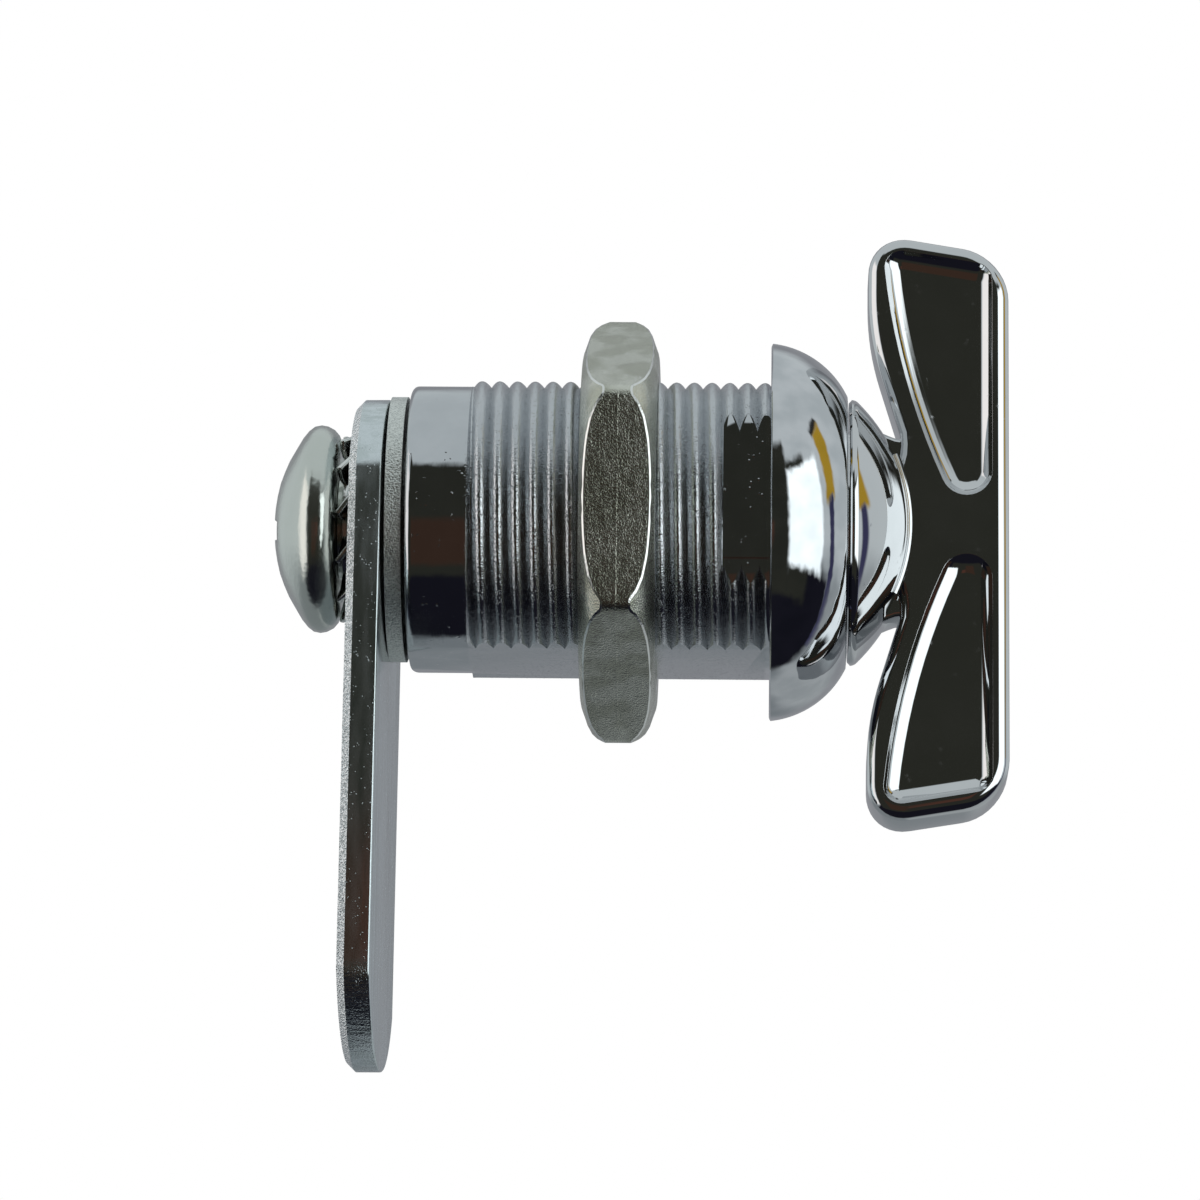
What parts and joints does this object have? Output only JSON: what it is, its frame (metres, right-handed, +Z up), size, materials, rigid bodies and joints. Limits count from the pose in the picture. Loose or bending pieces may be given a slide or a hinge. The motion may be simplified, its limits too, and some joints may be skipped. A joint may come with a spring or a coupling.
{
  "type": "thumb turn cam lock",
  "caption": "Panel-mounted thumb turn cam lock: winged turn and domed head, double-D threaded barrel with hex nut, and a keyed cam clamped on the spindle.",
  "frame": {"origin": "on the lock's axis, at the back face of the head, where it seats on the panel", "axes": "+X along the lock's axis, out of the panel towards the thumb turn; +Z up, square to the barrel's flats; the locked cam points to -Z when the turn stands at its lower stop"},
  "size_m": [0.0458, 0.0244, 0.053],
  "materials": {
    "barrel_chrome": "chrome plate on die-cast zinc, slightly rough on the thread",
    "turn_chrome": "polished chrome plate on die-cast zinc",
    "nut_zinc": "matte cast zinc with a faint yellow tint and a grainy skin",
    "plated_steel": "zinc-plated stamped steel, pale blue",
    "bright_steel": "bright zinc-plated spring steel",
    "screw_steel": "satin zinc-plated steel",
    "ring_rubber": "black rubber"
  },
  "bodies": {
    "housing": {"barrel": "barrel_chrome"},
    "turn": {"thumb_turn": "turn_chrome", "stop_washer": "plated_steel", "cam": "plated_steel", "star_washer": "bright_steel", "cam_screw": "screw_steel", "o_ring": "ring_rubber"},
    "nut": {"hex_nut": "nut_zinc"}
  },
  "joints": [
    {"name": "turn_hinge", "type": "hinge", "parent": "housing", "child": "turn", "pos_m": [0, 0, 0], "axis": [1, 0, 0], "range_deg": [0, 90]},
    {"name": "nut_travel", "type": "slide", "parent": "housing", "child": "nut", "axis": [1, 0, 0], "range_m": [-0.0064, 0.0067]}
  ]
}
